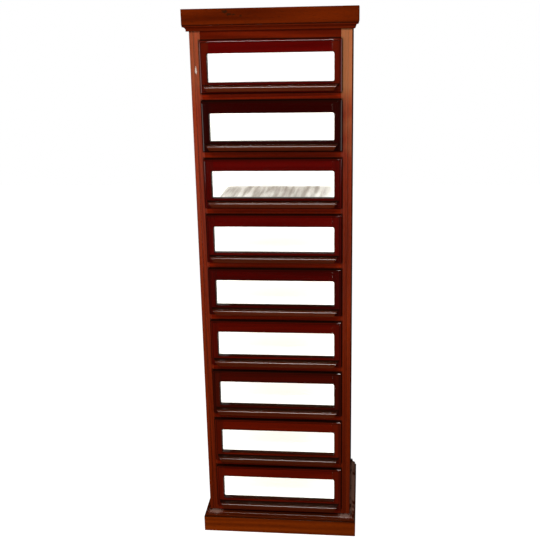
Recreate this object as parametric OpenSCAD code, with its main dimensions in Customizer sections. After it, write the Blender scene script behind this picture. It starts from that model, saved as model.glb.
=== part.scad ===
// Narrow free-standing cabinet with one column of glazed, lipped drawers.
// X runs across the front, Y from front to back, Z up. The front faces -Y.
// The origin is on the floor, at the middle of the whole object's width and depth.

/* [Overall] */
// Height from the floor to the top of the cornice
cabinet_h = 1736; // [1720:1:1780]
// Width across the outside of the two side boards
carcass_w = 480; // [460:2:520]
// Depth of the side boards
carcass_d = 380; // [340:2:420]
// How far the plinth stands out from the carcass
overhang = 20; // [18:1:24]

/* [Drawers] */
// Height from the bottom of one drawer front to the next
drawer_pitch = 174.8; // [172:0.1:177]
// Height of a drawer front, lip to lip
front_h = 155; // [152:0.5:158]
// Height above the floor of the lowest drawer front
lowest_front_z = 94; // [88:1:110]
// How far the face of a front stands out from the carcass
front_proud = 12; // [10:0.5:14]
// How far a front laps over the edges of its opening
front_lap = 4; // [3:0.5:5]
// Height of the window in a front
window_h = 84; // [76:0.5:86]
// Width of the bars on each side of the window
front_stile_w = 24; // [22:0.5:30]
// Height of the bar above the window
front_top_rail_h = 38.5; // [34:0.5:40]
// Radius of the window's corners
window_r = 6; // [4:0.5:8]
// How far the pull stands out from the face of its front
pull_reach = 27; // [22:0.5:32]

/* [Boards] */
// Thickness of the two side boards
side_t = 12; // [10:0.5:14]
// Visible width of the stile beside each front
stile_show = 16; // [14:0.5:18]
// Thickness of the drawer sides and drawer backs
drawer_side_t = 9; // [8:0.5:11]
// Thickness of the drawer bottoms
drawer_bottom_t = 5; // [4:0.5:6]
// Thickness of the window glass
glass_t = 3; // [2:0.5:4]

/* [Hidden] */
$fn = 48;

drawer_count = 9;
joint = 0.15;          // open glue line between two pieces
run = 1.5;             // running clearance round a moving drawer
eps = 1;               // overshoot of a cutter past the face that it cuts

carcass_red = "#7a3214";
front_red = "#5e1410";
pull_brown = "#6a2a1a";
pale_wood = "#c9a878";

// Places across the carcass
half_w = carcass_w / 2;
inner_w = half_w - side_t;
front_half = inner_w - stile_show;
opening_half = front_half - front_lap;
total_d = carcass_d + front_proud + pull_reach;
carcass_front_y = front_proud + pull_reach - total_d / 2;

// Heights in the carcass
cornice_overhang = overhang - 1.5;
fascia_h = 46;
cove_h = 17.5;
plinth_h = 55;
base_moulding_h = 21;
top_t = 18;
sides_top_z = cabinet_h - top_t;
opening_h = front_h - 2 * front_lap;
rail_t = drawer_pitch - opening_h;
rail_d = 45;
stile_d = 22;
bottom_board_z = 50;
bottom_board_t = 12;
bottom_rail_h = 60;

// Back boards and their screws
back_t = 8;
back_inset = 2;        // the boards lie a little inside the back edges of the sides
back_rebate = 6;
back_board_count = 4;
back_low_z = 30;
back_high_z = sides_top_z + 10; // they run up into a rebate under the top board
screw_r = 2;
screw_head_r = 4;
screw_head_h = 1.6;
screw_bite = 14;
back_y = carcass_d - back_t - back_inset; // back of the space inside the carcass

// Runners and guides
runner_w = 36;
guide_h = 15;

// Drawer, in its own frame: x = 0 at the middle, y = 0 at the carcass front, z = 0 at the front's lip
tongue_half = opening_half - run;
tongue_d = 8;
tongue_low = front_lap + run;
tongue_high = front_h - front_lap - run;
window_half = front_half - front_stile_w;
window_top = front_h - front_top_rail_h;
window_low = window_top - window_h;
front_corner_r = 6;    // radius of a front's corners, seen from the front
thumbnail_r = 6;       // radius of the rounded edge round a front
thumbnail_flat = 1;    // narrow flat between the rounded edge and its step
thumbnail_step = 0.8;  // step up from the rounded edge to the face
rebate_w = 5;
glass_y = 3.5 - front_proud; // the glass lies close behind the face
glass_fit = 0.3;
frame_joint_half = window_half - window_r;
box_low = front_lap + 0.4;
box_high = tongue_high - run;
box_y = tongue_d + joint;
box_d = back_y - 10 - box_y;
box_back_y = box_y + box_d;
back_piece_y = box_back_y - drawer_side_t;
side_back_y = back_piece_y - joint;
tail_count = 4;
tail_root_share = 0.3; // half a tail's width at its root, as a share of the tails' spacing
tail_tip_share = 0.37; // half a tail's width at its tip
front_tail_tip = 0.6;
groove_z = 12;
groove_d = 4;
back_drop = 6;

// Pull, with q measured out from the carcass front
pull_top_z = 26;       // where its top meets the face
pull_nose_z = 17.5;    // centre of the rounded nose
pull_nose_r = 7;
pull_lip_r = 2.4;
pull_lip_z = 9.4;
pull_face_q = front_proud;
pull_front_q = front_proud + pull_reach;
pull_half = front_half - 7; // half its width at the top, against the face
pull_plan_splay = 0.25;
pull_drop_splay = 0.65;
cove_r = 11;

function front_z(n) = lowest_front_z + (drawer_count - n) * drawer_pitch;
function opening_z(n) = front_z(n) + front_lap;

// Moves a piece drawn from the carcass front (y = 0) to its place in the object's frame
module in_place() {
    translate([0, carcass_front_y, 0])
        children();
}

// A box given by its low corner and its high corner
module block(low, high) {
    translate(low)
        cube(high - low);
}

// The same piece on both sides
module both_sides() {
    children();
    mirror([1, 0, 0])
        children();
}

// A profile in [y, z], drawn out along X between two places
module along_x(from_x, to_x) {
    translate([from_x, 0, 0])
        rotate([90, 0, 90])
            linear_extrude(height = to_x - from_x)
                children();
}

// A profile in [x, z], drawn out along Y between two places
module along_y(from_y, to_y) {
    translate([0, to_y, 0])
        rotate([90, 0, 0])
            linear_extrude(height = to_y - from_y)
                children();
}

// ---------- Planted boards and mouldings, mitred at the front corners ----------

// Plan of the front length, with mitred ends, for boards that stand out by a given amount
module front_plan(out) {
    polygon([
        [joint - half_w - out, -out], [half_w + out - joint, -out],
        [half_w, -joint], [-half_w, -joint]
    ]);
}

// Plan of the right-hand return, a glue line away from the front length
module return_plan(out) {
    polygon([
        [half_w + joint, 0], [half_w + out, joint - out],
        [half_w + out, carcass_d], [half_w + joint, carcass_d]
    ]);
}

// Three mitred lengths with one profile in [distance out, height], between two heights
module mitred_lengths(out, low_z, high_z) {
    intersection() {
        translate([0, 0, low_z])
            linear_extrude(height = high_z - low_z)
                front_plan(out);
        along_x(-half_w - out, half_w + out)
            mirror([1, 0])
                children();
    }
    both_sides()
        intersection() {
            translate([0, 0, low_z])
                linear_extrude(height = high_z - low_z)
                    return_plan(out);
            along_y(-out, carcass_d)
                translate([half_w, 0])
                    children();
        }
}

module fascia_profile() {
    translate([0, cabinet_h - fascia_h])
        square([cornice_overhang, fascia_h]);
}

module cove_profile() {
    low = cabinet_h - fascia_h - cove_h;
    foot = 8;
    fillet = 3;
    reach = cornice_overhang - 1 - foot;
    difference() {
        translate([0, low])
            square([cornice_overhang - 1, cove_h - joint]);
        translate([cornice_overhang - 1, low + fillet])
            circle(r = reach);
        translate([foot, low - eps])
            square([cornice_overhang, fillet + eps]);
    }
}

module plinth_profile() {
    square([overhang, plinth_h - joint]);
}

module base_profile() {
    ledge = 6;
    fillet = 3;
    foot = 16;
    hollow = foot - ledge;
    high = plinth_h + base_moulding_h;
    difference() {
        translate([0, plinth_h])
            square([foot, base_moulding_h]);
        translate([foot, high - fillet])
            circle(r = hollow);
        translate([ledge, high - fillet])
            square([hollow + eps, fillet + eps]);
    }
}

module cornice_fascia() {
    color(carcass_red)
        in_place()
            mitred_lengths(cornice_overhang, cabinet_h - fascia_h, cabinet_h)
                fascia_profile();
}

module cornice_moulding() {
    color(carcass_red)
        in_place()
            mitred_lengths(cornice_overhang, cabinet_h - fascia_h - cove_h, cabinet_h - fascia_h)
                cove_profile();
}

module plinth_boards() {
    color(carcass_red)
        in_place()
            mitred_lengths(overhang, 0, plinth_h)
                plinth_profile();
}

module base_moulding() {
    color(carcass_red)
        in_place()
            mitred_lengths(overhang, plinth_h, plinth_h + base_moulding_h)
                base_profile();
}

// ---------- Carcass ----------

module side_board() {
    difference() {
        block([inner_w, 0, 0], [half_w, carcass_d, sides_top_z - joint]);
        block([inner_w - eps, back_y, -eps],
              [inner_w + back_rebate, carcass_d + eps, cabinet_h]);
    }
}

module left_side() {
    color(carcass_red)
        in_place()
            mirror([1, 0, 0])
                side_board();
}

module right_side() {
    color(carcass_red)
        in_place()
            side_board();
}

module front_stiles() {
    color(carcass_red)
        in_place()
            both_sides()
                block([opening_half, 0, 0], [inner_w - joint, stile_d, sides_top_z - joint]);
}

// Top rail, the rails between the drawers, and the bottom rail
module front_rails() {
    rail_half = opening_half - joint;
    color(carcass_red)
        in_place() {
            block([-rail_half, 0, opening_z(1) + opening_h], [rail_half, rail_d, sides_top_z - joint]);
            for (n = [1:drawer_count - 1])
                block([-rail_half, 0, opening_z(n) - rail_t], [rail_half, rail_d, opening_z(n)]);
            block([-rail_half, 0, opening_z(drawer_count) - bottom_rail_h],
                  [rail_half, stile_d, opening_z(drawer_count)]);
        }
}

module back_boards() {
    back_half = inner_w + back_rebate - joint;
    board_w = 2 * back_half / back_board_count;
    gap = 0.6;
    color(pale_wood)
        in_place()
            for (i = [0:back_board_count - 1])
                block([i * board_w - back_half + gap / 2, back_y + joint, back_low_z],
                      [(i + 1) * board_w - back_half - gap / 2, back_y + back_t, back_high_z - joint]);
}

module top_board() {
    color(carcass_red)
        in_place()
            difference() {
                block([-half_w, 0, sides_top_z], [half_w, carcass_d, cabinet_h]);
                block([-inner_w - back_rebate, back_y, sides_top_z - eps],
                      [inner_w + back_rebate, carcass_d + eps, back_high_z]);
            }
}

module bottom_board() {
    color(pale_wood)
        in_place()
            block([joint - inner_w, stile_d + joint, bottom_board_z],
                  [inner_w - joint, back_y, bottom_board_z + bottom_board_t]);
}

// A bearer at each end of every rail: it carries the drawer above and stops the one below tipping
module drawer_runners() {
    color(pale_wood)
        in_place()
            for (n = [0:drawer_count])
                both_sides()
                    block([inner_w - runner_w, rail_d + joint, runner_low(n)],
                          [inner_w - joint, back_y - joint, runner_low(n) + rail_t]);
}

// Underside of the runners below drawer n; n = 0 is the pair above the top drawer
function runner_low(n) = n == 0 ? opening_z(1) + opening_h : opening_z(n) - rail_t;

// Strips on the runners that keep a drawer square with its opening
module drawer_guides() {
    color(pale_wood)
        in_place()
            for (n = [1:drawer_count])
                both_sides()
                    block([tongue_half + 0.8, rail_d + joint, opening_z(n) + joint],
                          [inner_w - joint, back_y - joint, opening_z(n) + guide_h]);
}

// Three-cornered blocks glued in the angle between the bottom board and the sides
module glue_blocks() {
    size = 26;
    length = 60;
    block_count = 3;
    first_y = 50;
    last_y = back_y - length - 20;
    color(pale_wood)
        in_place()
            both_sides()
                for (i = [0:block_count - 1])
                    translate([0, first_y + i * (last_y - first_y) / (block_count - 1), 0])
                        along_y(0, length)
                            translate([inner_w - joint, bottom_board_z - joint])
                                polygon([[0, 0], [-size, 0], [0, -size]]);
}

// Round-headed screws through the back boards into the top board and the bottom board
module back_screws() {
    per_board = 2;
    count = back_board_count * per_board;
    pitch = 2 * (inner_w + back_rebate) / count;
    screw_heights = [bottom_board_z + bottom_board_t / 2, (sides_top_z + back_high_z) / 2];
    color("silver")
        in_place()
            for (z = screw_heights, i = [0:count - 1])
                translate([(i + 0.5) * pitch - inner_w - back_rebate, back_y + back_t, z])
                    rotate([90, 0, 0]) {
                        cylinder(h = screw_bite, r = screw_r);
                        translate([0, 0, -screw_head_h])
                            cylinder(h = screw_head_h, r = screw_head_r);
                    }
}

// ---------- Drawer ----------

// Section of a lipped front, in [distance across it, y]: rounded edges, a lip and a tongue.
// The low edge can be plainly rounded, without the narrow step.
module lipped_section(low, high, tongue_from, tongue_to, step_at_low = true) {
    difference() {
        union() {
            translate([low, -front_proud])
                square([high - low, front_proud - joint]);
            translate([tongue_from, -eps])
                square([tongue_to - tongue_from, tongue_d + eps]);
        }
        translate([low, -front_proud])
            edge_cut(step_at_low ? thumbnail_flat : 0, step_at_low ? thumbnail_step : 0);
        translate([high, -front_proud])
            mirror([1, 0])
                edge_cut(thumbnail_flat, thumbnail_step);
    }
}

// What is planed away at one edge of a front to leave the rounded edge, a narrow flat and a step
module edge_cut(flat, step) {
    difference() {
        translate([-eps, -eps])
            square([thumbnail_r + flat + eps, thumbnail_r + step + eps]);
        translate([thumbnail_r, thumbnail_r + step])
            circle(r = thumbnail_r);
        translate([thumbnail_r, step])
            square([flat + eps, thumbnail_r + eps]);
    }
}

// The whole front before its window is cut: the crossing of the two lipped sections, with round corners
module front_blank() {
    intersection() {
        translate([0, 0, -eps])
            linear_extrude(height = front_h + 2 * eps)
                lipped_section(-front_half, front_half, -tongue_half, tongue_half);
        translate([front_half + eps, 0, 0])
            rotate([0, -90, 0])
                linear_extrude(height = 2 * front_half + 2 * eps)
                    lipped_section(0, front_h, tongue_low, tongue_high, false);
        along_y(-front_proud - eps, tongue_d + eps)
            rounded_outline(front_half, 0, front_h, front_corner_r);
    }
}

// A rectangle with rounded corners, in [x, z], the same on both sides of x = 0
module rounded_outline(half, low, high, r) {
    for (x = [r - half, half - r], z = [low + r, high - r])
        translate([x, z])
            circle(r = r);
    translate([r - half, low])
        square([2 * (half - r), high - low]);
    translate([-half, low + r])
        square([2 * half, high - low - 2 * r]);
}

// Dovetails along one end of a drawer side, from the low edge to the high edge, in [y, z].
// A socket is the same shape, grown all round and run on past the root and the tip.
function tails(root_y, tip_y, grow = 0, past_root = 0, past_tip = 0) =
    let (
        cell = (box_high - box_low) / tail_count,
        half_root = cell * tail_root_share,
        half_tip = cell * tail_tip_share,
        out = sign(tip_y - root_y),
        flare = (half_tip - half_root) / abs(tip_y - root_y),
        near_half = half_root + grow - flare * past_root,
        far_half = half_tip + grow + flare * past_tip
    )
    [
        for (i = [0:tail_count - 1])
            let (mid = box_low + cell * (i + 0.5))
            each [[root_y - out * past_root, mid - near_half], [tip_y + out * past_tip, mid - far_half],
                  [tip_y + out * past_tip, mid + far_half], [root_y - out * past_root, mid + near_half]]
    ];

function reversed(points) = [for (i = [len(points) - 1:-1:0]) points[i]];

// Outline of a drawer side, with its dovetails at both ends
module side_outline() {
    polygon(concat(
        [[box_y, box_low]],
        tails(box_y, front_tail_tip),
        [[box_y, box_high], [side_back_y, box_high]],
        reversed(tails(side_back_y, box_back_y)),
        [[side_back_y, box_low]]
    ));
}

// Cuts the sockets for one end's dovetails, in both sides at once
module sockets(root_y, tip_y, past_tip) {
    points = tails(root_y, tip_y, joint, eps, past_tip);
    both_sides()
        along_x(tongue_half - drawer_side_t - joint, tongue_half + eps)
            for (i = [0:tail_count - 1])
                polygon([for (k = [0:3]) points[4 * i + k]]);
}

module in_drawer_place(n) {
    translate([0, carcass_front_y, front_z(n)])
        children();
}

// The front's frame, two uprights and two rails, and the four beads that hold the glass
module drawer_frame(n) {
    color(front_red)
        in_drawer_place(n) {
            both_sides()
                frame_member([frame_joint_half + joint / 2, front_half + eps], [-eps, front_h + eps]);
            frame_member([-frame_joint_half + joint / 2, frame_joint_half - joint / 2],
                         [-eps, (window_low + window_top) / 2]);
            frame_member([-frame_joint_half + joint / 2, frame_joint_half - joint / 2],
                         [(window_low + window_top) / 2, front_h + eps]);
            glazing_beads();
        }
}

// One member: the part of the front that lies in a given stretch of x and of z
module frame_member(x_span, z_span) {
    difference() {
        intersection() {
            front_blank();
            block([x_span[0], -front_proud - eps, z_span[0]], [x_span[1], tongue_d + eps, z_span[1]]);
        }
        along_y(-front_proud - eps, tongue_d + eps)
            rounded_outline(window_half, window_low, window_top, window_r);
        block([-window_half - rebate_w, glass_y, window_low - rebate_w],
              [window_half + rebate_w, tongue_d + eps, window_top + rebate_w]);
        sockets(box_y, front_tail_tip, joint);
        block([-tongue_half + drawer_side_t - groove_d, tongue_d - groove_d, groove_z - joint],
              [tongue_half - drawer_side_t + groove_d, tongue_d + eps,
               groove_z + drawer_bottom_t + joint]);
    }
}

module glazing_beads() {
    bead = rebate_w - joint;
    front_y = glass_y + glass_t + glass_fit;
    half = window_half + rebate_w - joint;
    low = window_low - rebate_w + joint;
    high = window_top + rebate_w - joint;
    for (z = [low, high - bead])
        block([-half, front_y, z], [half, tongue_d, z + bead]);
    both_sides()
        block([half - bead, front_y, low + bead + joint], [half, tongue_d, high - bead - joint]);
}

module drawer_glass(n) {
    half = window_half + rebate_w - glass_fit;
    color("aliceblue", 0.4)
        in_drawer_place(n)
            block([-half, glass_y + joint, window_low - rebate_w + glass_fit],
                  [half, glass_y + joint + glass_t, window_top + rebate_w - glass_fit]);
}

// Section of the pull, in [y, z]: a nearly level top, a round nose, an upright hood and a coved underside
module pull_section() {
    nose_y = pull_nose_r - pull_front_q + 1;
    lip_y = pull_lip_r - pull_front_q;
    difference() {
        union() {
            polygon([
                [-pull_face_q - joint, pull_top_z],
                [nose_y, pull_nose_z + pull_nose_r],
                [nose_y - pull_nose_r, pull_nose_z],
                [lip_y - pull_lip_r, pull_lip_z],
                [lip_y, pull_lip_z - pull_lip_r],
                [-pull_face_q - joint, pull_lip_z - pull_lip_r]
            ]);
            translate([nose_y, pull_nose_z])
                circle(r = pull_nose_r);
            translate([lip_y, pull_lip_z])
                circle(r = pull_lip_r);
        }
        translate([lip_y + 2 * pull_lip_r + cove_r - 1, pull_lip_z - pull_lip_r])
            circle(r = cove_r);
        translate([lip_y + 2 * pull_lip_r + cove_r - 1, pull_lip_z - pull_lip_r - cove_r])
            square([pull_front_q, 2 * cove_r]);
    }
}

// What is cut off the right-hand end, so that the pull is splayed in plan and in elevation
module pull_end_cutter() {
    slope = sqrt(1 + pow(pull_plan_splay, 2) + pow(pull_drop_splay, 2));
    size = 3 * pull_front_q;
    translate([pull_half, -pull_face_q, pull_top_z])
        rotate([0, asin(pull_drop_splay / slope), -atan(pull_plan_splay)])
            translate([0, -size, -size])
                cube(2 * size);
}

module drawer_pull(n) {
    color(pull_brown)
        in_drawer_place(n)
            difference() {
                along_x(-pull_half, pull_half)
                    pull_section();
                both_sides()
                    pull_end_cutter();
            }
}

// Two sides and a back, dovetailed together
module drawer_box(n) {
    color(pale_wood)
        in_drawer_place(n) {
            both_sides()
                difference() {
                    along_x(tongue_half - drawer_side_t, tongue_half)
                        side_outline();
                    block([0, 0, groove_z - joint],
                          [tongue_half - drawer_side_t + groove_d, box_back_y + eps,
                           groove_z + drawer_bottom_t + joint]);
                }
            difference() {
                block([-tongue_half, back_piece_y, groove_z + drawer_bottom_t + joint],
                      [tongue_half, box_back_y, box_high - back_drop]);
                sockets(side_back_y, box_back_y, eps);
            }
        }
}

module drawer_bottom(n) {
    half = tongue_half - drawer_side_t + groove_d - joint;
    color(pale_wood)
        in_drawer_place(n)
            block([-half, tongue_d - groove_d + joint, groove_z],
                  [half, box_back_y, groove_z + drawer_bottom_t]);
}

left_side();
right_side();
front_stiles();
front_rails();
back_boards();
top_board();
bottom_board();
cornice_fascia();
cornice_moulding();
plinth_boards();
base_moulding();
drawer_runners();
drawer_guides();
glue_blocks();
back_screws();
for (n = [1:drawer_count]) {
    drawer_frame(n);
    drawer_glass(n);
    drawer_pull(n);
    drawer_box(n);
    drawer_bottom(n);
}
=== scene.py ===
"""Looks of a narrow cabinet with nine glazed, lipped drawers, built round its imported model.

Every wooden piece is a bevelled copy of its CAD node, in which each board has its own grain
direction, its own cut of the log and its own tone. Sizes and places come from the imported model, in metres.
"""

import math
import random

import bmesh
import bpy
from mathutils import Euler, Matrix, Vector


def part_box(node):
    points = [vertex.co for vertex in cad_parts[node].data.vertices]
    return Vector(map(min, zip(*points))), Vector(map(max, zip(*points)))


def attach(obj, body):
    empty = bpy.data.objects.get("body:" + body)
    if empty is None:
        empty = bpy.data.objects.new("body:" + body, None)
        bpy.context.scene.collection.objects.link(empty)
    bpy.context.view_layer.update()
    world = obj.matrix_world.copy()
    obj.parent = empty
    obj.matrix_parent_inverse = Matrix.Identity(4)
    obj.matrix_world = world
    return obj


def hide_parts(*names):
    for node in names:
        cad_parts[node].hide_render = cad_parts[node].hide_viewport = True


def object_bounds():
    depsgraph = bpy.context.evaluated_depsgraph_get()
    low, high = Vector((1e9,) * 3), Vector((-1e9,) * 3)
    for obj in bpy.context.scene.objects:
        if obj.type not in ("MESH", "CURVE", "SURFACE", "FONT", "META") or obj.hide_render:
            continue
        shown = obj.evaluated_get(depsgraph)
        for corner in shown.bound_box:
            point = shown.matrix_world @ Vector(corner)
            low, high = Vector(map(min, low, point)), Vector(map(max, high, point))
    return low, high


MM = 0.001
DRAWERS = range(1, 10)

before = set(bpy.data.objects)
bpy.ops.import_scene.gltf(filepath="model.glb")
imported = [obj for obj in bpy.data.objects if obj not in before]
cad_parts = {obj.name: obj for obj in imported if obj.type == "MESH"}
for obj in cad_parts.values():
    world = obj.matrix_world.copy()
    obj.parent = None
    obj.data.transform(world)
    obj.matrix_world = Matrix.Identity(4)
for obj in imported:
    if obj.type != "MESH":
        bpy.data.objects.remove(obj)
cad_low, cad_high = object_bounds()
scene = bpy.context.scene

# ---------- Camera ----------

CAMERA_PLACE = (0.272, -2.764, 1.721)
CAMERA_ANGLES = (73.37, 1.19, 5.95)  # tilt, roll and turn, in degrees
CAMERA_LENS = 57.45

camera_data = bpy.data.cameras.new("camera")
camera_data.lens = CAMERA_LENS
camera_data.sensor_width = 36
camera = bpy.data.objects.new("camera", camera_data)
camera.location = CAMERA_PLACE
camera.rotation_euler = Euler([math.radians(angle) for angle in CAMERA_ANGLES])
scene.collection.objects.link(camera)
scene.camera = camera


# ---------- Node helpers ----------


def new_material(name):
    """A material with an empty node tree, and that tree."""
    material = bpy.data.materials.new(name)
    material.use_nodes = True
    material.node_tree.nodes.clear()
    return material, material.node_tree


def add(tree, kind, inputs=None, **settings):
    """Adds a node. An input is given a plain value or is linked to a socket."""
    made = tree.nodes.new(kind)
    for key, value in settings.items():
        setattr(made, key, value)
    for key, value in (inputs or {}).items():
        if isinstance(value, bpy.types.NodeSocket):
            tree.links.new(value, made.inputs[key])
        else:
            made.inputs[key].default_value = value
    return made


def maths(tree, operation, first, second=0.0, third=0.0):
    """The result of a Math node."""
    return add(tree, "ShaderNodeMath", {0: first, 1: second, 2: third}, operation=operation).outputs[0]


def vector_maths(tree, operation, first, second):
    """The result of a Vector Math node with two vectors."""
    return add(tree, "ShaderNodeVectorMath", {0: first, 1: second}, operation=operation).outputs["Vector"]


def length(tree, vector):
    """How long a vector is."""
    return add(tree, "ShaderNodeVectorMath", {0: vector}, operation="LENGTH").outputs["Value"]


def scaled(tree, vector, factor):
    """A vector or colour times a factor."""
    made = add(tree, "ShaderNodeVectorMath", {0: vector, "Scale": factor}, operation="SCALE")
    return made.outputs["Vector"]


def object_place(tree):
    """Where the shaded point lies on the object, in metres."""
    return add(tree, "ShaderNodeTexCoord").outputs["Object"]


def along_axis(tree, place, axis):
    """One coordinate of a place."""
    return add(tree, "ShaderNodeSeparateXYZ", {"Vector": place}).outputs[axis]


def scaled_noise(tree, place, scale, detail=2.0, rough=0.5):
    """Noise from 0 to 1, with a scale for each direction of place."""
    inputs = {
        "Vector": vector_maths(tree, "MULTIPLY", place, scale),
        "Scale": 1.0,
        "Detail": detail,
        "Roughness": rough,
    }
    return add(tree, "ShaderNodeTexNoise", inputs).outputs["Fac"]


def stretched(tree, value, low, high, to_low=0.0, to_high=1.0):
    """Maps value from low..high to to_low..to_high, clamped."""
    made = add(
        tree,
        "ShaderNodeMapRange",
        {"Value": value, "From Min": low, "From Max": high, "To Min": to_low, "To Max": to_high},
    )
    return made.outputs["Result"]


def blended(tree, factor, first, second, mode="MIX"):
    """Two colours mixed by factor, or combined as mode says."""
    made = add(tree, "ShaderNodeMix", data_type="RGBA", blend_type=mode)
    for socket, value in ((made.inputs[0], factor), (made.inputs[6], first), (made.inputs[7], second)):
        if isinstance(value, bpy.types.NodeSocket):
            tree.links.new(value, socket)
        else:
            socket.default_value = value
    return made.outputs[2]


def attribute(tree, name):
    """A vector kept on the mesh."""
    return add(tree, "ShaderNodeAttribute", attribute_name=name).outputs["Vector"]


def linear(red, green, blue):
    """A colour given from 0 to 255 as a screen shows it, as linear red, green, blue and alpha."""
    channels = [channel / 255 for channel in (red, green, blue)]
    return [c / 12.92 if c <= 0.04045 else ((c + 0.055) / 1.055) ** 2.4 for c in channels] + [1.0]


# ---------- Materials ----------


def spot_mask(tree, centre, radii, ragged):
    """A mask from 0 to 1 round one place on the object, with a ragged edge."""
    place = object_place(tree)
    away = vector_maths(tree, "SUBTRACT", place, centre)
    away = vector_maths(tree, "DIVIDE", away, radii)
    distance = length(tree, away)
    rough = scaled_noise(tree, place, (ragged, ragged, ragged), detail=3.0)
    distance = maths(tree, "ADD", distance, stretched(tree, rough, 0.3, 0.7, -0.5, 0.5))
    return stretched(tree, distance, 0.6, 1.0, 1.0, 0.0)


FRONT_LOW, FRONT_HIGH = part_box("drawer_9_frame")
FRONT_HALF = FRONT_HIGH.x
FRONT_HALF_HEIGHT = (FRONT_HIGH.z - FRONT_LOW.z) / 2
FRONT_MIDDLE_Z = (FRONT_HIGH.z + FRONT_LOW.z) / 2
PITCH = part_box("drawer_8_frame")[0].z - FRONT_LOW.z
GLASS_LOW, GLASS_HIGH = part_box("drawer_9_glass")
WINDOW_CORNER = 6 * MM  # the radius of a window's corners
GLASS_HIDDEN = 4.7 * MM  # how far the glass runs behind the frame, all round the window
WINDOW_HALF = GLASS_HIGH.x - GLASS_HIDDEN
QUIRK_IN = 7 * MM  # how far in from a front's outline the groove inside its rounded edge lies


def on_front(tree, place):
    """Where a point lies on the nearest drawer front: across, up from its middle, and the front's row.

    Rows are counted upwards from 0.
    """
    up = maths(tree, "SUBTRACT", along_axis(tree, place, "Z"), FRONT_MIDDLE_Z)
    row = maths(tree, "ROUND", maths(tree, "DIVIDE", up, PITCH))
    row = maths(tree, "MINIMUM", maths(tree, "MAXIMUM", row, 0.0), len(DRAWERS) - 1.0)
    return along_axis(tree, place, "X"), maths(tree, "MULTIPLY_ADD", row, -PITCH, up), row


def past_box(tree, across, up, half_width, half_height):
    """How far a point lies outside a rectangle about the origin."""
    past_x = maths(tree, "SUBTRACT", maths(tree, "ABSOLUTE", across), half_width)
    past_z = maths(tree, "SUBTRACT", maths(tree, "ABSOLUTE", up), half_height)
    return maths(tree, "MAXIMUM", past_x, past_z)


def past_front_edge(tree, place):
    """How far a point lies outside the outline of the nearest drawer front, seen from the front."""
    across, up, _row = on_front(tree, place)
    return past_box(tree, across, up, FRONT_HALF, FRONT_HALF_HEIGHT)


def strongest(tree, *masks):
    """The strongest of some masks at each point, each given as (mask, strength)."""
    most = 0.0
    for mask, strength in masks:
        most = maths(tree, "MAXIMUM", most, maths(tree, "MULTIPLY", mask, strength))
    return most


def line_mask(tree, distance, at, core, fade):
    """A mask along the line where distance equals at: full within core, gone beyond fade."""
    away = maths(tree, "ABSOLUTE", maths(tree, "SUBTRACT", distance, at))
    return stretched(tree, away, core, fade, 1.0, 0.0)


def carcass_shade_and_grime(tree, place):
    """Painted shade, dark and dull, in the gap round every front, and dark, dull polish along the joint
    between a stile and its side board.
    """
    # painted shade in the gap round each drawer front
    gap_shade = line_mask(tree, past_front_edge(tree, place), 0.0, 1.2 * MM, 4.0 * MM)
    across = maths(tree, "ABSOLUTE", along_axis(tree, place, "X"))
    joint = line_mask(tree, across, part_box("front_stiles")[1].x, 0.4 * MM, 1.5 * MM)
    shade_and_grime = strongest(tree, (gap_shade, 0.8), (joint, 0.6))
    return shade_and_grime, shade_and_grime


def moulding_shade_and_grime(tree, place):
    """Painted shade, with dull polish, along the horizontal joints of the cornice and of the base."""
    height = along_axis(tree, place, "Z")
    joints = [corner.z for corner in (*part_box("cornice_moulding"), *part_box("base_moulding"))]
    # painted shade along each joint under and over the mouldings
    lines = [line_mask(tree, height, joint, 0.8 * MM, 3.0 * MM) for joint in joints]
    shade_and_grime = strongest(tree, *[(line, 0.75) for line in lines])
    return shade_and_grime, shade_and_grime


def top_edge(tree, across, up, row, inner, outer, on_top_drawer=0.0):
    """A front's top edge, from one depth in to another, fading out at its right corner.

    The mask is weaker on the top drawer, as on_top_drawer says.
    """
    band = stretched(tree, up, FRONT_HALF_HEIGHT - inner, FRONT_HALF_HEIGHT - outer)
    lower_row = stretched(tree, row, len(DRAWERS) - 1.6, len(DRAWERS) - 1.4, 1.0, on_top_drawer)
    before_corner = stretched(tree, across, FRONT_HALF - 16 * MM, FRONT_HALF - 8 * MM, 1.0, 0.0)
    return maths(tree, "MULTIPLY", maths(tree, "MULTIPLY", band, lower_row), before_corner)


def front_shade_and_grime(tree, place):
    """Painted shade in the quirk inside the rounded edge, on the outer edge and round the window, and a
    painted shadow of the pull above on the top edge.

    The whole of the rounded top edge is dull, without its coat, though only its outer part is dark.
    """
    across, up, row = on_front(tree, place)
    past = past_box(tree, across, up, FRONT_HALF, FRONT_HALF_HEIGHT)
    # painted shade in the groove inside the rounded edge
    quirk = line_mask(tree, past, -QUIRK_IN, 0.7 * MM, 2.2 * MM)
    # painted shade in the gap at the front's outline
    outer = line_mask(tree, past, 0.0, 0.8 * MM, 3.0 * MM)
    window_up = maths(tree, "SUBTRACT", up, (GLASS_LOW.z + GLASS_HIGH.z) / 2 - FRONT_MIDDLE_Z)
    half_height = (GLASS_HIGH.z - GLASS_LOW.z) / 2 - GLASS_HIDDEN
    past_window = past_box(tree, across, window_up, WINDOW_HALF, half_height)
    # painted shade along the window's edge
    window = line_mask(tree, past_window, 0.0, 0.6 * MM, 2.4 * MM)
    # painted shadow that the pull above casts on the top edge; none on the top drawer, which has no pull
    # above it
    pull_shadow_edge = top_edge(tree, across, up, row, 5.0 * MM, 3.0 * MM)
    dull_edge = top_edge(tree, across, up, row, 9.5 * MM, 8.0 * MM, on_top_drawer=0.6)
    dark = strongest(tree, (quirk, 0.6), (outer, 0.9), (window, 0.7), (pull_shadow_edge, 0.9))
    return dark, maths(tree, "MAXIMUM", dark, dull_edge)


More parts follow.
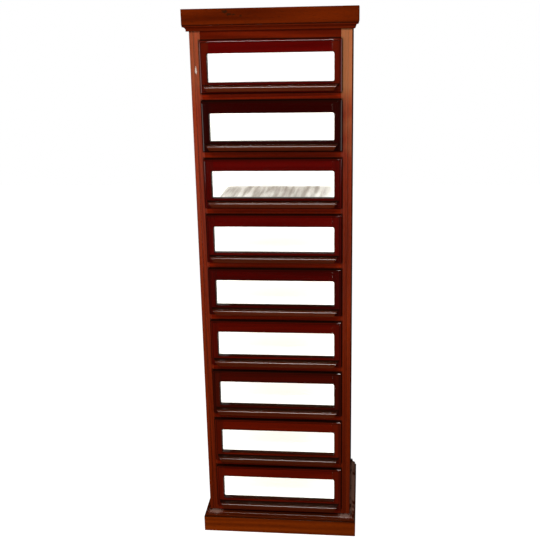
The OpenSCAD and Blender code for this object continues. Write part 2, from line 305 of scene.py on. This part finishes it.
def pull_shade_and_grime(tree, place):
    """Painted shade and dull polish on top of a pull, thickest where its top meets the front."""
    depth = along_axis(tree, place, "Y")
    face = FRONT_LOW.y
    # painted shade on the pull's top, deepest against the front
    shade_and_grime = stretched(tree, depth, face - 24 * MM, face - 17 * MM, 0.0, 0.8)
    return shade_and_grime, shade_and_grime


# the colour of painted shade in gaps, joints and recesses, and of old dark polish
SHADE_AND_OLD_POLISH = (0.006, 0.002, 0.001, 1.0)
DARK_PORE = (0.012, 0.004, 0.002, 1.0)
SHADE_FROM = 0.1  # the height at and below which the painted shade near the floor holds in full
SHADE_TO = 0.8 * cad_high.z  # the height above which there is no painted shade


def grain(tree, place, tone, figure):
    """The wood's colour before any marks, with its pores and its fibres for the bump.

    figure is how strongly the rings, the ribbon and the fibres show.
    """
    broad = scaled_noise(tree, place, (1.6, 14.0, 14.0), detail=3.0)
    ribbon = scaled_noise(tree, place, (3.0, 75.0, 75.0), detail=2.0)
    fibre = scaled_noise(tree, place, (26.0, 900.0, 900.0), detail=2.0)
    pore_noise = scaled_noise(tree, place, (70.0, 1700.0, 1700.0), detail=0.0)
    log = vector_maths(tree, "MULTIPLY", place, (0.05, 1.0, 1.0))
    rings = add(
        tree,
        "ShaderNodeTexWave",
        {"Vector": log, "Scale": 30.0, "Distortion": 5.0, "Detail": 2.0, "Detail Scale": 0.6},
        wave_type="RINGS",
        rings_direction="X",
    ).outputs["Fac"]
    pores = stretched(tree, pore_noise, 0.62, 0.72)

    shade = maths(tree, "MULTIPLY", rings, 0.34)
    shade = maths(tree, "MULTIPLY_ADD", stretched(tree, broad, 0.3, 0.7), 0.30, shade)
    shade = maths(tree, "MULTIPLY_ADD", stretched(tree, ribbon, 0.28, 0.72), 0.26, shade)
    shade = maths(tree, "MULTIPLY_ADD", fibre, 0.10, shade)
    low = 1.0 - 0.50 * figure
    high = 1.0 + 0.50 * figure
    dark = (low, low * 0.86, low * 0.8, 1.0)
    light = (high, high * 1.12, high * 1.15, 1.0)
    colour = blended(tree, 1.0, tone, blended(tree, shade, dark, light), "MULTIPLY")
    return blended(tree, maths(tree, "MULTIPLY", pores, 0.45), colour, DARK_PORE), pores, fibre


def wood(
    name,
    figure=1.0,
    coat=1.0,
    coat_roughness=0.08,
    roughness=0.42,
    satin=0.0,
    marks=(),
    shade_and_grime=None,
    painted_low_shade=1.0,
):
    """Wood with rings, ribbon, fibres and pores along the grain, and a polish.

    The mesh says where in the log each point lies ("wood") and the board's own colour ("tone").
    Each mark is (centre, radii, raggedness, colour, strength). The argument after marks gives two masks of
    painted
    shade and old polish: where it is dark, and where it is dull. The coat is missing where it is dull.
    The last argument is how much of its lightness the wood keeps near the floor, as a painted shade.
    """
    material, tree = new_material(name)
    place = attribute(tree, "wood")
    spot = object_place(tree)
    colour, pores, fibre = grain(tree, place, attribute(tree, "tone"), figure)
    if painted_low_shade < 1.0:
        # painted shade: the wood grows darker towards the floor
        kept = stretched(tree, along_axis(tree, spot, "Z"), SHADE_FROM, SHADE_TO, painted_low_shade, 1.0)
        colour = scaled(tree, colour, kept)
    if shade_and_grime:
        dark, dull = shade_and_grime(tree, spot)
        # painted shade and old polish darken the wood where the first mask says
        colour = blended(tree, dark, colour, SHADE_AND_OLD_POLISH)
        coat = maths(tree, "MULTIPLY_ADD", dull, -coat, coat)
    for centre, radii, ragged, mark_colour, strength in marks:
        mask = maths(tree, "MULTIPLY", spot_mask(tree, centre, radii, ragged), strength)
        colour = blended(tree, mask, colour, mark_colour)

    smear = scaled_noise(tree, place, (9.0, 30.0, 30.0), detail=3.0)
    rough = stretched(tree, smear, 0.3, 0.7, roughness - 0.07, roughness + 0.07)
    relief = maths(tree, "MULTIPLY_ADD", pores, -1.0, maths(tree, "MULTIPLY", fibre, 0.35))
    bump = add(tree, "ShaderNodeBump", {"Height": relief, "Strength": 0.35, "Distance": 0.06 * MM})
    wave = scaled_noise(tree, place, (5.0, 16.0, 16.0), detail=1.0)
    coat_bump = add(tree, "ShaderNodeBump", {"Height": wave, "Strength": 0.25, "Distance": 1.2 * MM})
    shader = add(
        tree,
        "ShaderNodeBsdfPrincipled",
        {
            "Base Color": colour,
            "Roughness": rough,
            "Normal": bump.outputs["Normal"],
            "Specular IOR Level": satin,
            "Coat Weight": coat,
            "Coat Roughness": coat_roughness,
            "Coat IOR": 1.5,
            "Coat Normal": coat_bump.outputs["Normal"],
        },
    )
    add(tree, "ShaderNodeOutputMaterial", {"Surface": shader.outputs["BSDF"]})
    return material


def window_glass():
    """Old sheet glass: nearly clear, a little green, with faint smears.

    It mirrors 4% straight on and all at a grazing angle, alike on both faces of the pane.
    """
    material, tree = new_material("window_glass")
    place = object_place(tree)
    smear = scaled_noise(tree, place, (22.0, 22.0, 40.0), detail=4.0)
    ripple = scaled_noise(tree, place, (11.0, 11.0, 17.0), detail=1.0)
    bump = add(tree, "ShaderNodeBump", {"Height": ripple, "Strength": 0.2, "Distance": 0.4 * MM})
    clear = add(tree, "ShaderNodeBsdfTransparent", {"Color": (0.975, 0.99, 0.982, 1.0)})
    gloss = add(
        tree,
        "ShaderNodeBsdfGlossy",
        {
            "Color": (0.9, 0.93, 0.92, 1.0),
            "Roughness": stretched(tree, smear, 0.35, 0.75, 0.02, 0.16),
            "Normal": bump.outputs["Normal"],
        },
    )
    grazing = add(tree, "ShaderNodeLayerWeight", {"Blend": 0.5}).outputs["Facing"]
    mirrored = maths(tree, "MULTIPLY_ADD", maths(tree, "POWER", grazing, 5.0), 0.96, 0.04)
    both = add(tree, "ShaderNodeMixShader", {0: mirrored, 1: clear.outputs[0], 2: gloss.outputs[0]})
    add(tree, "ShaderNodeOutputMaterial", {"Surface": both.outputs[0]})
    return material


DARK_STREAK = linear(164, 157, 151)
LIGHT_STREAK = linear(224, 222, 219)


def paper(name, light, grey_until=None):
    """White paper that glows, so that it looks as white as the floor even inside a shut drawer.

    With grey_until, it has grey streaks that fade out to the right, from one x to another.
    """
    material, tree = new_material(name)
    place = object_place(tree)
    fibres = scaled_noise(tree, place, (420.0, 420.0, 420.0), detail=3.0)
    creases = scaled_noise(tree, place, (12.0, 12.0, 12.0), detail=4.0)
    colour = blended(tree, fibres, (0.86, 0.86, 0.85, 1.0), (0.94, 0.94, 0.93, 1.0))
    if grey_until:
        streak = scaled_noise(tree, place, (62.0, 5.0, 1.0), detail=3.0)
        grey = blended(tree, stretched(tree, streak, 0.35, 0.68), DARK_STREAK, LIGHT_STREAK)
        covered = stretched(tree, along_axis(tree, place, "X"), *grey_until, 1.0, 0.0)
        colour = blended(tree, covered, colour, grey)
    bump = add(tree, "ShaderNodeBump", {"Height": creases, "Strength": 0.3, "Distance": 0.8 * MM})
    shader = add(
        tree,
        "ShaderNodeBsdfPrincipled",
        {
            "Base Color": colour,
            "Roughness": stretched(tree, fibres, 0.3, 0.7, 0.75, 0.9),
            "Specular IOR Level": 0.2,
            "Normal": bump.outputs["Normal"],
            "Emission Color": colour,
            "Emission Strength": light,
        },
    )
    add(tree, "ShaderNodeOutputMaterial", {"Surface": shader.outputs["BSDF"]})
    return material


def old_steel():
    """Dull steel with spots of rust."""
    material, tree = new_material("old_steel")
    place = object_place(tree)
    rust = stretched(tree, scaled_noise(tree, place, (700.0, 700.0, 700.0), detail=4.0), 0.48, 0.68)
    turned = scaled_noise(tree, place, (2400.0, 2400.0, 2400.0), detail=2.0)
    bump = add(tree, "ShaderNodeBump", {"Height": turned, "Strength": 0.3, "Distance": 0.05 * MM})
    shader = add(
        tree,
        "ShaderNodeBsdfPrincipled",
        {
            "Base Color": blended(tree, rust, (0.36, 0.34, 0.31, 1.0), (0.12, 0.05, 0.025, 1.0)),
            "Metallic": stretched(tree, rust, 0.0, 1.0, 1.0, 0.2),
            "Roughness": stretched(tree, rust, 0.0, 1.0, 0.38, 0.8),
            "Normal": bump.outputs["Normal"],
        },
    )
    add(tree, "ShaderNodeOutputMaterial", {"Surface": shader.outputs["BSDF"]})
    return material


# ---------- Boards ----------

WELD = 0.004 * MM
FLAT_ANGLE = math.radians(0.4)
SHARP_ANGLE = math.radians(32)


def welded(node):
    """A bmesh of a CAD node with its vertices welded and its flat faces whole."""
    mesh = bmesh.new()
    mesh.from_mesh(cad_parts[node].data)
    bmesh.ops.remove_doubles(mesh, verts=mesh.verts, dist=WELD)
    bmesh.ops.dissolve_limit(mesh, angle_limit=FLAT_ANGLE, verts=mesh.verts, edges=mesh.edges)
    return mesh


def loose_parts(mesh):
    """The separate solids of a bmesh, each a list of vertices, from left to right, front to back and up."""
    left = set(mesh.verts)
    parts = []
    for start in mesh.verts:
        if start not in left:
            continue
        left.discard(start)
        part = []
        waiting = [start]
        while waiting:
            vertex = waiting.pop()
            part.append(vertex)
            for edge in vertex.link_edges:
                other = edge.other_vert(vertex)
                if other in left:
                    left.discard(other)
                    waiting.append(other)
        parts.append(part)
    return sorted(parts, key=lambda part: tuple(round(c, 4) for c in middle(part)))


def corners(vertices):
    """The lowest and highest corner of some vertices."""
    low = Vector([min(v.co[axis] for v in vertices) for axis in range(3)])
    high = Vector([max(v.co[axis] for v in vertices) for axis in range(3)])
    return low, high


def middle(vertices):
    """The middle of the box round some vertices."""
    low, high = corners(vertices)
    return (low + high) / 2


def cut_from_log(mesh, node, tone, spread):
    """Gives each board its place in a log, grain along its length, and its own tone."""
    wood_layer = mesh.verts.layers.float_vector.new("wood")
    tone_layer = mesh.verts.layers.float_vector.new("tone")
    for number, part in enumerate(loose_parts(mesh)):
        chance = random.Random(f"{node} {number}")
        low, high = corners(part)
        size = high - low
        centre = middle(part)
        along, across, through = sorted(range(3), key=lambda axis: -size[axis])
        start = chance.uniform(-4, 4)
        heart = Vector((chance.uniform(-0.05, 0.05), chance.uniform(0.05, 0.16)))
        lean = Vector((chance.uniform(-0.02, 0.02), chance.uniform(-0.03, 0.03)))
        own = 1 + chance.uniform(-spread, spread)
        board_tone = Vector(tone(centre, along)[:3]) * own
        for vertex in part:
            away = vertex.co - centre
            vertex[wood_layer] = (
                away[along] + start,
                away[across] + heart[0] + lean[0] * away[along],
                away[through] + heart[1] + lean[1] * away[along],
            )
            vertex[tone_layer] = board_tone


GLUE_LINE = 0.2 * MM


def sort_edges(mesh, bevel, glued_at):
    """Picks the sharp edges to bevel, all but those on the glue lines left and right of the middle.

    A sharp edge that isn't bevelled keeps its sharp shading.
    """
    weight = mesh.edges.layers.float.new("bevel_weight_edge")
    for edge in mesh.edges:
        sharp = edge.calc_face_angle(0) > SHARP_ANGLE
        glued = bool(glued_at) and all(abs(abs(vertex.co.x) - glued_at) < GLUE_LINE for vertex in edge.verts)
        bevelled = sharp and bevel > 0 and not glued
        edge[weight] = float(bevelled)
        edge.smooth = bevelled or not sharp


def finished(mesh, name, body, material, bevel, stands_for=(), glued_at=None):
    """Makes a bmesh a bevelled piece that rides on a body and stands for CAD nodes."""
    sort_edges(mesh, bevel, glued_at)
    data = bpy.data.meshes.new(name)
    for face in mesh.faces:
        face.smooth = True
    mesh.to_mesh(data)
    mesh.free()
    data.materials.append(material)
    piece = bpy.data.objects.new(name, data)
    scene.collection.objects.link(piece)
    if bevel:
        rounding = piece.modifiers.new("rounded_edges", "BEVEL")
        rounding.width = bevel
        rounding.segments = 2
        rounding.limit_method = "WEIGHT"
        rounding.miter_outer = "MITER_ARC"
    shading = piece.modifiers.new("even_shading", "WEIGHTED_NORMAL")
    shading.keep_sharp = True
    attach(piece, body)
    if stands_for:
        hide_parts(*stands_for)


def boards(node, body, material, tone, bevel=0.5 * MM, spread=0.12, glued_at=None):
    """Makes a wooden CAD node finished boards, whose tones differ by as much as spread."""
    mesh = welded(node)
    cut_from_log(mesh, node, tone, spread)
    finished(mesh, f"{node}_wood", body, material, bevel, [node], glued_at)


def plain(colour):
    """The same tone for every board of a node."""
    return lambda centre, along: colour


# ---------- Finishes and tones ----------

LIGHT_LEVEL = 1.45  # how much brighter than its own colour a lit front comes out


def stain(red, green, blue):
    """The colour of a board whose front should look about like this in the light of the scene."""
    return [channel / LIGHT_LEVEL for channel in linear(red, green, blue)]


FASCIA_TONE = stain(95, 27, 2)
COVE_TONE = stain(98, 24, 3)
SIDE_TONE = stain(144, 42, 4)
STILE_TONE = stain(138, 38, 4)
TOP_RAIL_TONE = stain(96, 21, 3)
# painted light: lighter than the top rail, against the shadow of the pulls above
RAIL_TONE = stain(116, 25, 3)
PLINTH_TONE = stain(124, 44, 4)
BASE_TONE = stain(84, 26, 4)
PULL_TONE = stain(78, 26, 8)
FRONT_COLOURS = {
    1: (88, 4, 2),
    2: (44, 2, 1),
    3: (82, 4, 2),
    4: (84, 5, 2),
    5: (68, 4, 2),
    6: (88, 10, 2),
    7: (70, 11, 3),
    8: (96, 17, 2),
    9: (98, 16, 2),
}
UPRIGHT = 2  # the axis along which the grain of an upright runs
UPRIGHT_GREENER = 3  # how much greener an upright is than a rail
TOP_UPRIGHT_GREENER = 12  # the same on the top drawer


def front_tone(number):
    """The tone of a drawer front's members: its uprights are a little browner than its rails."""
    red, green, blue = FRONT_COLOURS[number]
    greener = TOP_UPRIGHT_GREENER if number == 1 else UPRIGHT_GREENER
    rail = stain(red, green, blue)
    upright = stain(0.96 * red, green + greener, blue + 2)
    return lambda centre, along: upright if along == UPRIGHT else rail


def rail_tone(centre, along):
    """The tone of a carcass rail: those between the drawers are painted lighter than the top one, against
    the shadow the pulls above cast on them.
    """
    return TOP_RAIL_TONE if centre.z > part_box("drawer_1_frame")[1].z else RAIL_TONE


PALE_TONE = (0.44, 0.27, 0.13)
BACK_TONE = (0.30, 0.145, 0.062)

FASCIA_LOW, FASCIA_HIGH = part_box("cornice_fascia")
BASE_LOW, BASE_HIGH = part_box("base_moulding")
STILE_LOW, STILE_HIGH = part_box("front_stiles")
KNOT = (0.02, 0.006, 0.002, 1.0)
WORN = (0.24, 0.15, 0.12, 1.0)
CHIPPED = (0.50, 0.42, 0.36, 1.0)
# a painted sheen, lighter towards the tops of the stiles
STILE_TOP_SHEEN = linear(178, 120, 72)
# a painted reflection of bright surroundings, greyish
REFLECTED_GREY = linear(150, 112, 94)
THROUGH = 0.05  # how deep a mark reaches into a board
FRONT_ONLY = 0.012  # how deep the painted sheen at the stiles' tops reaches, so hardly onto the outer sides
WORN_Z = BASE_HIGH.z - 5 * MM
WORN_SIZE = (0.028, THROUGH, 0.008)


def knot(x, below_top, half_width, half_height, strength=0.9):
    """A small dark knot in the front of the cornice, so far below its top."""
    centre = (x, FASCIA_LOW.y, FASCIA_HIGH.z - below_top)
    return centre, (half_width, THROUGH, half_height), 300.0, KNOT, strength


CHIP_PLACE = (STILE_LOW.x + 4 * MM, STILE_LOW.y, FASCIA_LOW.z - 0.129)
CARCASS_MARKS = [
    knot(-0.128, 9 * MM, 0.009, 0.006),
    knot(-0.116, 17 * MM, 0.010, 0.004),
    knot(-0.102, 18 * MM, 0.005, 0.003),
    knot(-0.082, 22 * MM, 0.004, 0.003, strength=0.8),
]
BASE_MARKS = [
    ((-0.220, BASE_LOW.y, WORN_Z), WORN_SIZE, 220.0, WORN, 0.5),
    ((0.226, BASE_LOW.y, WORN_Z), WORN_SIZE, 220.0, WORN, 0.5),
    # painted reflection along the top of the base moulding's right return
    ((BASE_HIGH.x, 0.03, BASE_HIGH.z), (0.025, 0.26, 0.03), 30.0, REFLECTED_GREY, 0.6),
]
SIDE_MARKS = [
    # painted sheen high on the right stile, fainter on the left
    ((STILE_HIGH.x, STILE_LOW.y, FASCIA_LOW.z - 0.12), (0.07, FRONT_ONLY, 0.30), 4.0, STILE_TOP_SHEEN, 0.40),
    ((STILE_LOW.x, STILE_LOW.y, FASCIA_LOW.z - 0.08), (0.07, FRONT_ONLY, 0.22), 4.0, STILE_TOP_SHEEN, 0.12),
    (CHIP_PLACE, (0.0028, THROUGH, 0.012), 420.0, CHIPPED, 0.9),
]

polished = wood("polished_mahogany", coat=0.45, shade_and_grime=moulding_shade_and_grime, marks=CARCASS_MARKS)
base_polish = wood("base_mahogany", coat=0.2, shade_and_grime=moulding_shade_and_grime, marks=BASE_MARKS)
satin_polish = wood(
    "satin_mahogany",
    coat=0.6,
    coat_roughness=0.21,
    roughness=0.3,
    satin=0.1,
    marks=SIDE_MARKS,
    shade_and_grime=carcass_shade_and_grime,
    # painted shade: the sides and stiles keep 60% of their lightness near the floor
    painted_low_shade=0.6,
)
rail_polish = wood("rail_mahogany", coat=0.5, shade_and_grime=carcass_shade_and_grime)
front_polish = wood("dark_polished_mahogany", figure=0.7, shade_and_grime=front_shade_and_grime)
pull_polish = wood("pull_mahogany", figure=0.7, coat=0.62, coat_roughness=0.11, shade_and_grime=pull_shade_and_grime)
pale_wood = wood("pale_wood", figure=0.45, coat=0.0, roughness=0.62, satin=0.3)
glass = window_glass()
white_paper = paper("white_paper", light=0.8)
grey_paper = paper("grey_paper", light=0.6, grey_until=(0.13, 0.20))
steel = old_steel()

# ---------- Carcass ----------

boards("left_side", "carcass", satin_polish, plain(SIDE_TONE))
boards("right_side", "carcass", satin_polish, plain(SIDE_TONE))
boards("front_stiles", "carcass", satin_polish, plain(STILE_TONE), bevel=0.3 * MM)
boards("front_rails", "carcass", rail_polish, rail_tone, bevel=0.3 * MM)
boards("top_board", "carcass", polished, plain(SIDE_TONE))
boards("cornice_fascia", "carcass", polished, plain(FASCIA_TONE), bevel=0.3 * MM, spread=0.04)
boards("cornice_moulding", "carcass", polished, plain(COVE_TONE), bevel=0.4 * MM, spread=0.04)
boards("plinth_boards", "carcass", polished, plain(PLINTH_TONE), bevel=1.2 * MM, spread=0.04)
boards("base_moulding", "carcass", base_polish, plain(BASE_TONE), bevel=0.4 * MM, spread=0.04)
boards("back_boards", "carcass", pale_wood, plain(BACK_TONE), bevel=0.8 * MM)
boards("bottom_board", "carcass", pale_wood, plain(PALE_TONE))
boards("drawer_runners", "carcass", pale_wood, plain(PALE_TONE))
boards("drawer_guides", "carcass", pale_wood, plain(PALE_TONE))
boards("glue_blocks", "carcass", pale_wood, plain(PALE_TONE), bevel=1 * MM)
screw_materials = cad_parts["back_screws"].data.materials
screw_materials.clear()
screw_materials.append(steel)

# ---------- Drawers ----------

DRAWER_SIDE_T = 9 * MM
LINING_CLEAR = 0.5 * MM  # between a lining and the drawer's sides and back
LINING_LIFT = 0.2 * MM  # between a lining and the drawer's bottom
LINING_BELOW_RIM = 14 * MM
LINING_T = 0.4 * MM
LINING_STEPS = 24
SHEET_T = 0.3 * MM
SHEET_WAVE = 0.8 * MM
SHEET_RAGGED = 1.5 * MM


def paper_piece(name, mesh, number, material, thickness, offset):
    """Makes a bmesh a sheet of paper that rides in a drawer."""
    data = bpy.data.meshes.new(name)
    mesh.to_mesh(data)
    mesh.free()
    data.materials.append(material)
    piece = bpy.data.objects.new(name, data)
    scene.collection.objects.link(piece)
    sheet = piece.modifiers.new("thickness", "SOLIDIFY")
    sheet.thickness = thickness
    sheet.offset = offset
    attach(piece, f"drawer_{number}")


def lining(number, material):
    """A sheet of white paper folded up against the back and the sides of a drawer."""
    name = f"drawer_{number}_lining"
    bottom_low, bottom_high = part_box(f"drawer_{number}_bottom")
    box_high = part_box(f"drawer_{number}_box")[1]
    front_y = bottom_low.y + 5 * MM
    back_y = box_high.y - DRAWER_SIDE_T - LINING_CLEAR
    half = box_high.x - DRAWER_SIDE_T - LINING_CLEAR
    low_z = bottom_high.z + LINING_LIFT
    high_z = box_high.z - LINING_BELOW_RIM
    mesh = bmesh.new()
    chance = random.Random(name)
    columns = []
    for i in range(LINING_STEPS + 1):
        x = half * (2 * i / LINING_STEPS - 1)
        top = high_z + chance.uniform(-0.6, 0.6) * MM
        places = [(x, front_y, low_z), (x, back_y, low_z), (x, back_y, top)]
        columns.append([mesh.verts.new(place) for place in places])
    for left, right in zip(columns, columns[1:]):
        mesh.faces.new((left[0], right[0], right[1], left[1]))
        mesh.faces.new((left[1], right[1], right[2], left[2]))
    for column, sign in ((columns[0], -1), (columns[-1], 1)):
        front_low, back_low, back_top = column
        front_top = mesh.verts.new((sign * half, front_y, high_z))
        if sign < 0:
            mesh.faces.new((front_low, back_low, back_top, front_top))
        else:
            mesh.faces.new((back_low, front_low, front_top, back_top))
    paper_piece(name, mesh, number, material, LINING_T, offset=1.0)


def loose_sheet(number, material, left, right, depth):
    """A sheet of paper lying loose on a drawer's lining, a little wavy, with a ragged back edge."""
    name = f"drawer_{number}_loose_sheet"
    bottom_low, bottom_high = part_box(f"drawer_{number}_bottom")
    front_y = bottom_low.y + 8 * MM
    lowest = bottom_high.z + 1.2 * MM
    chance = random.Random(name)
    steps_across = 36
    steps_back = 24
    mesh = bmesh.new()
    rows = []
    for j in range(steps_back + 1):
        row = []
        for i in range(steps_across + 1):
            x = left + (right - left) * i / steps_across
            y = front_y + depth * j / steps_back
            if j == steps_back:
                y += chance.uniform(-SHEET_RAGGED, SHEET_RAGGED)
            wave = SHEET_WAVE * (1 + math.sin(31 * x + 9 * y) * math.cos(23 * y))
            row.append(mesh.verts.new((x, y, lowest + wave)))
        rows.append(row)
    for near, far in zip(rows, rows[1:]):
        for i in range(steps_across):
            mesh.faces.new((near[i], near[i + 1], far[i + 1], far[i])).smooth = True
    paper_piece(name, mesh, number, material, SHEET_T, offset=-1.0)


for number in DRAWERS:
    body = f"drawer_{number}"
    boards(
        f"drawer_{number}_frame",
        body,
        front_polish,
        front_tone(number),
        bevel=0.3 * MM,
        spread=0.08,
        glued_at=WINDOW_HALF - WINDOW_CORNER,
    )
    boards(f"drawer_{number}_pull", body, pull_polish, plain(PULL_TONE), bevel=1.0 * MM)
    boards(f"drawer_{number}_box", body, pale_wood, plain(PALE_TONE), bevel=0.2 * MM)
    boards(f"drawer_{number}_bottom", body, pale_wood, plain(PALE_TONE), bevel=0.3 * MM)
    pane = f"drawer_{number}_glass"
    finished(welded(pane), f"drawer_{number}_pane", body, glass, 0.3 * MM, [pane])
    lining(number, white_paper)
loose_sheet(3, grey_paper, left=-0.178, right=0.178, depth=0.235)

# ---------- Floor, surroundings and lights ----------

FLOOR_HALF = 6.0


def floor():
    """A plain pale floor that keeps out of the polish's reflections."""
    mesh = bmesh.new()
    bmesh.ops.create_grid(mesh, x_segments=2, y_segments=2, size=FLOOR_HALF)
    data = bpy.data.meshes.new("floor")
    mesh.to_mesh(data)
    mesh.free()
    material, tree = new_material("pale_floor")
    place = object_place(tree)
    mottle = scaled_noise(tree, place, (3.0, 3.0, 3.0), detail=3.0)
    colour = blended(tree, mottle, (0.22, 0.22, 0.22, 1.0), (0.26, 0.26, 0.26, 1.0))
    shader = add(
        tree,
        "ShaderNodeBsdfPrincipled",
        {
            "Base Color": colour,
            "Roughness": 0.9,
            "Specular IOR Level": 0.0,
            "Emission Color": (1.0, 1.0, 1.0, 1.0),
            "Emission Strength": 0.97,
        },
    )
    add(tree, "ShaderNodeOutputMaterial", {"Surface": shader.outputs["BSDF"]})
    data.materials.append(material)
    piece = bpy.data.objects.new("floor", data)
    piece.visible_glossy = False
    piece.visible_diffuse = False
    scene.collection.objects.link(piece)


def surroundings(seen, ambient, mirrored):
    """A white room to look at, which lights the object softly and is dark in its reflections."""
    world = bpy.data.worlds.new("surroundings")
    world.use_nodes = True
    tree = world.node_tree
    tree.nodes.clear()
    path = add(tree, "ShaderNodeLightPath")
    strength = stretched(tree, path.outputs["Is Glossy Ray"], 0.0, 1.0, ambient, mirrored)
    soft = add(tree, "ShaderNodeBackground", {"Color": (1.0, 1.0, 1.0, 1.0), "Strength": strength})
    bright = add(tree, "ShaderNodeBackground", {"Color": (1.0, 1.0, 1.0, 1.0), "Strength": seen})
    both = add(
        tree,
        "ShaderNodeMixShader",
        {0: path.outputs["Is Camera Ray"], 1: soft.outputs[0], 2: bright.outputs[0]},
    )
    add(tree, "ShaderNodeOutputWorld", {"Surface": both.outputs[0]})
    scene.world = world


def soft_light(name, place, aim, width, height, brightness, mirrored=True):
    """A rectangular light at place, turned to aim. Brightness is what a mirror of it would show."""
    data = bpy.data.lights.new(name, "AREA")
    data.shape = "RECTANGLE"
    data.size = width
    data.size_y = height
    data.energy = brightness * math.pi * width * height
    light = bpy.data.objects.new(name, data)
    light.location = place
    light.visible_glossy = mirrored
    light.rotation_euler = (Vector(aim) - Vector(place)).to_track_quat("-Z", "Y").to_euler()
    scene.collection.objects.link(light)


floor()
surroundings(seen=1.0, ambient=0.2, mirrored=0.0)
soft_light("key", (-0.25, -2.9, 3.0), aim=(0, 0, 0.9), width=1.0, height=0.6, brightness=42.0)
soft_light(
    "fill", (-0.5, -2.9, 0.7), aim=(0, 0, 0.8), width=1.8, height=1.4, brightness=3.4, mirrored=False
)
for name, place in (("left_window", (-1.9, -1.5, 1.6)), ("right_window", (2.0, -1.3, 1.6))):
    soft_light(name, place, aim=(0, 0, 1.6), width=1.8, height=1.4, brightness=2.1)

scene.view_settings.view_transform = "Standard"
scene.view_settings.look = "None"
